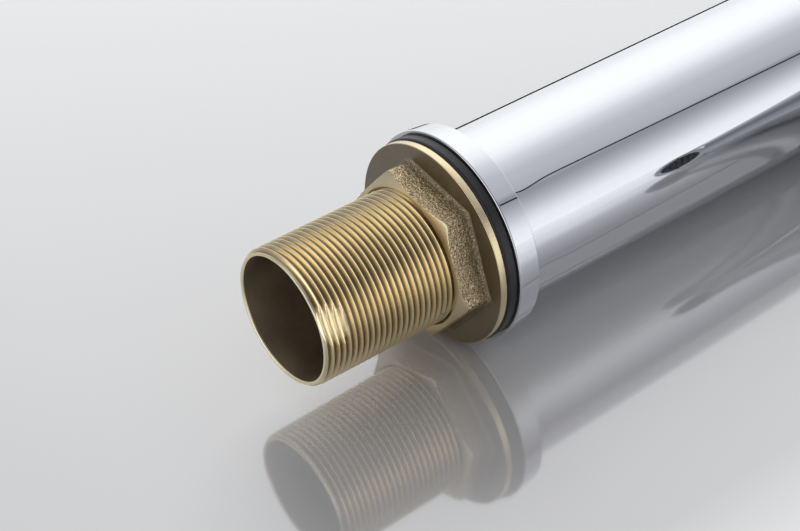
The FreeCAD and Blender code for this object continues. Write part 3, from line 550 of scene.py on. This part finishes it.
# The bore and the mouth of its countersink, the bevel's slope and curve there, and the flange's fillet.
NUT_BORE_R = SHANK_R + 0.1
NUT_MOUTH_R = SHANK_R + 0.55
BEVEL_SLOPE = 0.11
BEVEL_CURVE = 0.062
NUT_FILLET = 1.1
# Steps of the section along the bevel, the wall and the fillet, and the wall's first row below the bevel's edge.
BEVEL_STEPS = 6
WALL_STEPS = 22
FILLET_STEPS = 6
WALL_START = 0.16
# The flange's rim: how far each point lies inside the flange's radius, and its height.
RIM_POINTS = (
    (0.14, -NUT_FLANGE), (0.08, -NUT_FLANGE + 0.025), (0.03, -NUT_FLANGE + 0.07), (0.015, -NUT_FLANGE + 0.14),
    (0.0, -NUT_FLANGE + 0.6), (0.0, -0.30), (0.04, -0.14), (0.2, 0.0))
# Unevenness of the cast wall: waves a millimetre, and their height.
CAST_WAVES = ((1.5, 0.045), (0.45, 0.07))
# Finishes of the nut's zones, in the order of its materials; the face's finish is painted shade.
TURNED, CAST, FACE, RIM = range(4)


def hexagon_radius(turn, flats, corner):
    """Distance from the axis to a hexagon with rounded corners."""
    half = flats / 2
    step = math.pi / 3
    off = abs((turn - math.radians(NUT_TURN) + step / 2) % step - step / 2)
    centre = (half - corner) / math.cos(step / 2)
    tangent = math.atan2(corner * math.sin(step / 2), centre + corner * math.cos(step / 2))
    if off >= tangent:
        return half / math.cos(step / 2 - off)
    return centre * math.cos(off) + math.sqrt(corner ** 2 - (centre * math.sin(off)) ** 2)


def bevel_height(radius):
    """Height of the turned bevel, which grows steeper towards the corners of the hexagon."""
    out = radius - NUT_MOUTH_R
    return -NUT_HEIGHT + BEVEL_SLOPE * out + BEVEL_CURVE * out ** 2


def nut_section(turn):
    """The nut's section at a turn round Z: radius, height and finish of each point, from its bore round to its rim."""
    wall = hexagon_radius(turn, NUT_FLATS, NUT_CORNER_R)
    wall += math.exp(-((math.degrees(turn) - FLASH_AT) / FLASH_WIDTH) ** 2) * FLASH_HEIGHT
    start = NUT_MOUTH_R
    top = bevel_height(wall)
    foot = -NUT_FLANGE - NUT_FILLET
    rows = [
        (NUT_BORE_R, 0.0, TURNED), (NUT_BORE_R, -NUT_HEIGHT + 0.6, TURNED),
        (SHANK_R + 0.14, -NUT_HEIGHT + 0.5, TURNED), (start - 0.08, -NUT_HEIGHT + 0.07, TURNED),
        (start, -NUT_HEIGHT, TURNED), (start + 0.12, bevel_height(start + 0.12), TURNED)]
    for k in range(1, BEVEL_STEPS):
        radius = start + 0.12 + (wall - start - 0.30) * k / BEVEL_STEPS
        rows.append((radius, bevel_height(radius), TURNED))
    rows += [(wall - 0.13, top - 0.06, TURNED), (wall - 0.05, top + 0.02, CAST), (wall, top + WALL_START, CAST)]
    for k in range(1, WALL_STEPS):
        rows.append((wall, top + WALL_START + (foot - top - WALL_START) * k / WALL_STEPS, CAST))
    for k in range(FILLET_STEPS + 1):
        bend = math.pi / 2 * k / FILLET_STEPS
        rows.append((wall + NUT_FILLET * (1 - math.cos(bend)), foot + NUT_FILLET * math.sin(bend),
                     CAST if k < FILLET_STEPS - 1 else FACE))
    rows += [(wall + 1.2, -NUT_FLANGE, FACE), (NUT_FLANGE_R - 0.19, -NUT_FLANGE, FACE)]
    rows += [(NUT_FLANGE_R - inward, height, RIM) for inward, height in RIM_POINTS]
    return rows


def make_nut():
    """Cast nut: sandy hexagon with soft edges, turned bevel, countersink, flange face and rounded rim."""
    shape = bmesh.new()
    sections = []
    for i in range(NUT_STEPS):
        turn = 2 * math.pi * i / NUT_STEPS
        section = []
        for radius, height, finish in nut_section(turn):
            if finish == CAST:
                spot = Vector((radius * math.cos(turn), radius * math.sin(turn), height))
                radius += sum(noise.noise(spot * often) * size for often, size in CAST_WAVES)
            section.append((on_circle(shape, radius, turn, height), finish))
        sections.append(section)
    for one, two in zip(sections, sections[1:] + sections[:1]):
        for k, (vert, finish) in enumerate(one):
            m = (k + 1) % len(one)
            face = shape.faces.new((vert, two[k][0], two[m][0], one[m][0]))
            face.material_index = one[m][1] if m else finish
    piece = wrapped("flange_nut", shape, BRASS_FACED, "nut", ["mounting_nut"], 50.0)
    for finish in (BRASS_CAST, BRASS_FACE_PAINTED_SHADE, BRASS_RIM):
        piece.data.materials.append(finish)


# Turned chrome pieces and the gasket, in millimetres

# The column grows a little towards the ring: by how much, over what length, and the number and step of the rows.
SWELL = 0.25
SWELL_LENGTH = 6.0
SWELL_ROWS = 28
SWELL_STEP = 0.75
RING_LIP_R = COLUMN_R + 0.42
RING_POCKET = 0.8


def make_turned():
    """Column, foot ring and gasket."""
    column = [(COLUMN_R, COLUMN_LOW, 0)]
    for step in range(SWELL_ROWS):
        height = RING_TOP + 0.02 + step * SWELL_STEP
        column.append((COLUMN_R + SWELL * math.exp(-((height - RING_TOP) / SWELL_LENGTH) ** 2), height, 0))
    column += [(COLUMN_R, COLUMN_TOP, 0.25), (COLUMN_R - COLUMN_WALL, COLUMN_TOP, 0.2),
               (COLUMN_R - COLUMN_WALL, COLUMN_LOW, 0)]
    lathe("column_shell", column, CHROME, ["column_tube"])
    lathe("foot_ring", [
        (FOOT_BORE_R, RING_LOW, 0), (RING_R_LOW, RING_LOW, 0.35), (RING_R_TOP, RING_TOP, 0.14),
        (RING_LIP_R, RING_TOP, 0.04), (RING_LIP_R, RING_TOP - RING_POCKET, 0),
        (FOOT_BORE_R, RING_TOP - RING_POCKET, 0)], CHROME, ["base_ring"])
    lathe("foot_gasket", [
        (FOOT_BORE_R, 0.0, 0), (GASKET_R, 0.0, 0.7), (GASKET_R, RING_LOW, 0.5),
        (FOOT_BORE_R, RING_LOW, 0)], RUBBER, ["base_gasket"])


# Stage

# Half the floor's size, in metres.
FLOOR_HALF = 1.2
# Where the tap lies on the floor: so far below the hub's top and before the spout's end, and the gaps left under
# the spout and under the ring, in millimetres.
HUB_TOUCH = 5.0
SPOUT_TOUCH = 6.0
SPOUT_GAP = 0.25
RING_GAP = 0.05
# The floor mirrors this share of the light from straight above, and more by up to the gain along a power of the
# facing as it is seen flatter.
MIRROR_SHARE = 0.17
MIRROR_GAIN = 0.83
MIRROR_POWER = 2.7
# The floor glows beyond the spout's end: where along Y that starts and is full, in metres, and its strength.
GLOW_START = -0.080
GLOW_FULL = -0.110
GLOW = 0.28


def floor_plane():
    """Direction and distance of the surface the tap lies on: it touches the foot ring, the hub and the spout."""
    slope_z = (RING_R_LOW - COLUMN_R) / (HUB_TOP - HUB_TOUCH - RING_LOW)
    gap = RING_R_LOW + slope_z * RING_LOW
    slope_y = -(gap - SPOUT_TIP_R - SPOUT_GAP - slope_z * SPOUT_Z) / (SPOUT_END - SPOUT_TOUCH)
    side = math.sqrt(1 - slope_z ** 2 - slope_y ** 2)
    return Vector((side, slope_y, slope_z)), gap + RING_GAP


def floor_material(name):
    """Pale glossy surface, seen from its upper side only, with a soft glow beyond the spout."""
    made = bpy.data.materials.new(name)
    made.use_nodes = True
    made.node_tree.nodes.clear()
    add, link = node_tools(made.node_tree)
    diffuse = add("ShaderNodeBsdfDiffuse")
    diffuse.inputs["Color"].default_value = (0.72, 0.72, 0.725, 1)
    gloss = add("ShaderNodeBsdfGlossy")
    gloss.inputs["Color"].default_value = (0.97, 0.97, 0.98, 1)
    gloss.inputs["Roughness"].default_value = 0.06
    weight = add("ShaderNodeLayerWeight")
    weight.inputs["Blend"].default_value = 0.5
    steep = maths(add, link, "POWER", weight.outputs["Facing"], MIRROR_POWER)
    share = maths(add, link, "MULTIPLY_ADD", steep, MIRROR_GAIN, MIRROR_SHARE)
    surface = add("ShaderNodeNewGeometry")
    along = axes_of(add, link, surface.outputs["Position"])["Y"]
    glow = add("ShaderNodeEmission")
    link(ranged(add, link, along, GLOW_START, GLOW_FULL, 0.0, GLOW), glow.inputs["Strength"])
    lit = add("ShaderNodeAddShader")
    link(diffuse.outputs[0], lit.inputs[0])
    link(glow.outputs[0], lit.inputs[1])
    upper = mixed(add, link, share, lit.outputs[0], gloss.outputs[0])
    clear = add("ShaderNodeBsdfTransparent")
    out = add("ShaderNodeOutputMaterial")
    link(mixed(add, link, surface.outputs["Backfacing"], upper, clear.outputs[0]), out.inputs["Surface"])
    return made


def make_stage():
    """The plain floor in the plane that the tap lies on."""
    normal, gap = floor_plane()
    mesh = bpy.data.meshes.new("floor")
    plane = bmesh.new()
    bmesh.ops.create_grid(plane, x_segments=1, y_segments=1, size=FLOOR_HALF)
    plane.to_mesh(mesh)
    plane.free()
    floor = bpy.data.objects.new("floor", mesh)
    bpy.context.scene.collection.objects.link(floor)
    floor.rotation_mode = "QUATERNION"
    floor.rotation_quaternion = (-normal).to_track_quat("Z", "Y")
    floor.location = normal * gap * MM
    mesh.materials.append(floor_material("floor_gloss"))


# The white tent round the tap, as seen in the metal. At each angle round Z, in degrees, is the brightness from
# 0 to 255 that was read off the photographed column, or a guess at 0, 60, 300 and 330, which are out of view.
TENT = (
    (0, 150), (60, 200), (91, 232), (107, 246), (120, 252), (143, 252), (156, 241), (164, 228), (172, 209),
    (180, 197), (188, 184), (197, 180), (205, 174), (212, 170), (216, 141), (221, 147),
    (230, 170), (238, 192), (246, 215), (254, 232), (266, 239), (280, 234), (300, 200), (330, 160),
)
TENT_PEAK = 252
# The share of the light that chrome gives back, and how much the tent gains in blue where it is dark and lacks red.
CHROME_SHARE = 0.70
TENT_BLUE = 0.16
TENT_RED = 0.99
# Share of that brightness at each height, from -1 straight below to 1 straight above.
TENT_HEIGHTS = (
    (-1.0, 0.8), (-0.7, 0.42), (-0.45, 0.27), (-0.2, 0.42), (0.05, 0.8), (0.3, 1.0), (0.7, 1.0), (1.0, 0.9))
# The plain ends of the tent: the heights where each starts and is full, and its share.
TENT_ENDS = ((-0.76, -0.92, 0.98), (0.80, 0.92, 0.92))
# The seam between two tent panels: its angle in degrees, the height where that angle holds, its lean in degrees,
# half its width and the outer edge of its fade in radians, and the share of light left in it.
SEAM_AT = 214.0
SEAM_Z = 0.59
SEAM_LEAN = 60.0
SEAM_HALF = 0.011
SEAM_EDGE = 0.018
SEAM_LEFT = 0.02
# The backdrop as the camera sees it, and the light on what isn't mirror-like.
BACKDROP = (0.70, 0.71, 0.72, 1)
FILL = (0.43, 0.43, 0.44, 1)
# The dark flag behind the tap: its place along Y, and its corners along X and Z, in millimetres.
FLAG_Y = 45.0
FLAG_CORNERS = ((-3.0, 26.0), (8.5, 26.0), (8.5, 260.0), (-3.0, 260.0))


def linear(value):
    """Scene brightness of a photographed 0 to 255 value."""
    share = value / 255
    return share / 12.92 if share <= 0.04045 else ((share + 0.055) / 1.055) ** 2.4


def fill_ramp(node, stops):
    """Sets the stops of a colour ramp from pairs of position and colour."""
    marks = node.color_ramp.elements
    while len(marks) > 1:
        marks.remove(marks[-1])
    for index, (position, colour) in enumerate(stops):
        mark = marks[0] if index == 0 else marks.new(position)
        mark.position = position
        mark.color = (*colour, 1)


def tent_stops(top):
    """Stops of the tent's colour round Z, as shares of its top brightness."""
    stops = []
    for degrees, value in TENT:
        level = linear(value) / CHROME_SHARE / top
        cool = 1.0 + TENT_BLUE * (1.0 - level)
        stops.append((degrees / 360, (level * TENT_RED, level, min(1.0, level * cool))))
    return stops


def make_world():
    """A white tent round the tap, darker low behind the camera and straight overhead."""
    world = bpy.data.worlds.new("tent")
    bpy.context.scene.world = world
    world.use_nodes = True
    world.node_tree.nodes.clear()
    add, link = node_tools(world.node_tree)

    axes = axes_of(add, link, add("ShaderNodeTexCoord").outputs["Generated"])
    angle = maths(add, link, "ARCTAN2", axes["Y"], axes["X"])
    top = linear(TENT_PEAK) / CHROME_SHARE
    round_ramp = add("ShaderNodeValToRGB")
    link(maths(add, link, "FRACT", maths(add, link, "DIVIDE", angle, 2 * math.pi)), round_ramp.inputs[0])
    fill_ramp(round_ramp, tent_stops(top))
    height_ramp = add("ShaderNodeValToRGB")
    halved = maths(add, link, "MULTIPLY", axes["Z"], 0.5)
    link(maths(add, link, "ADD", halved, 0.5), height_ramp.inputs[0])
    fill_ramp(height_ramp, [((z + 1) / 2, (level, level, level)) for z, level in TENT_HEIGHTS])

    leaning = maths(add, link, "MULTIPLY", axes["Z"], math.radians(SEAM_LEAN))
    seam_at = maths(add, link, "ADD", leaning, math.radians(SEAM_AT - 360 - SEAM_LEAN * SEAM_Z))
    beside = maths(add, link, "ABSOLUTE", maths(add, link, "SUBTRACT", angle, seam_at))
    seam = ranged(add, link, beside, SEAM_HALF, SEAM_EDGE, SEAM_LEFT, 1.0)
    shade = blended(add, link, 1.0, round_ramp.outputs[0], height_ramp.outputs[0], "MULTIPLY")
    shade = blended(add, link, 1.0, shade, seam, "MULTIPLY")
    for inner, outer, level in TENT_ENDS:
        near_end = ranged(add, link, axes["Z"], inner, outer, 0.0, 1.0)
        shade = blended(add, link, near_end, shade, (level, level, level))

    tent = add("ShaderNodeBackground")
    link(shade, tent.inputs[0])
    tent.inputs[1].default_value = top
    plain = add("ShaderNodeBackground")
    plain.inputs[0].default_value = BACKDROP
    fill = add("ShaderNodeBackground")
    fill.inputs[0].default_value = FILL
    path = add("ShaderNodeLightPath")
    seen = mixed(add, link, path.outputs["Is Glossy Ray"], fill.outputs[0], tent.outputs[0])
    out = add("ShaderNodeOutputWorld")
    link(mixed(add, link, path.outputs["Is Camera Ray"], seen, plain.outputs[0]), out.inputs[0])


def make_strip():
    """A narrow dark flag behind the tap, which the column shows as the dark line along its upper edge."""
    mesh = bpy.data.meshes.new("dark_flag")
    shape = bmesh.new()
    shape.faces.new([shape.verts.new((across * MM, FLAG_Y * MM, up * MM)) for across, up in FLAG_CORNERS])
    shape.to_mesh(mesh)
    shape.free()
    strip = bpy.data.objects.new("dark_flag", mesh)
    bpy.context.scene.collection.objects.link(strip)
    made, _, _, shader = new_material("flag_black")
    shader.inputs["Base Color"].default_value = (0.02, 0.02, 0.02, 1)
    shader.inputs["Roughness"].default_value = 0.9
    mesh.materials.append(made)
    strip.visible_camera = False
    strip.visible_diffuse = False
    strip.visible_shadow = False


def make_lamp(name, spot, aim, size, power):
    """A softbox that lights what isn't mirror-like and doesn't show itself in the metal."""
    lamp = bpy.data.lights.new(name, "AREA")
    lamp.shape = "RECTANGLE"
    lamp.size, lamp.size_y = size
    lamp.energy = power
    holder = bpy.data.objects.new(name, lamp)
    bpy.context.scene.collection.objects.link(holder)
    holder.location = Vector(spot)
    holder.rotation_mode = "QUATERNION"
    holder.rotation_quaternion = (Vector(aim) - Vector(spot)).to_track_quat("-Z", "Y")
    holder.visible_glossy = False
    holder.visible_camera = False


def make_camera():
    """The photograph's camera."""
    camera = bpy.data.cameras.new("photo_camera")
    camera.sensor_fit = "HORIZONTAL"
    camera.sensor_width = CAMERA_SENSOR
    camera.lens = CAMERA_LENS
    camera.clip_start = 0.01
    camera.clip_end = 20
    holder = bpy.data.objects.new("photo_camera", camera)
    bpy.context.scene.collection.objects.link(holder)
    spot = Vector(CAMERA_AT) * MM
    ahead = (Vector(CAMERA_AIM) * MM - spot).normalized()
    side = ahead.cross(Vector((0, 0, 1))).normalized()
    level = side.cross(ahead)
    roll = math.radians(CAMERA_ROLL)
    top = level * math.cos(roll) + side * math.sin(roll)
    right = ahead.cross(top)
    holder.matrix_world = Matrix((
        (right.x, top.x, -ahead.x, spot.x),
        (right.y, top.y, -ahead.y, spot.y),
        (right.z, top.z, -ahead.z, spot.z),
        (0, 0, 0, 1)))
    bpy.context.scene.camera = holder


make_camera()
make_stage()
make_world()
make_strip()
make_lamp("softbox", spot=(-0.40, 0.55, 0.36), aim=(0.025, 0.12, 0.04), size=(0.5, 0.5), power=3.0)
make_shank()
make_nut()
make_turned()

bpy.context.scene.view_settings.view_transform = "Standard"
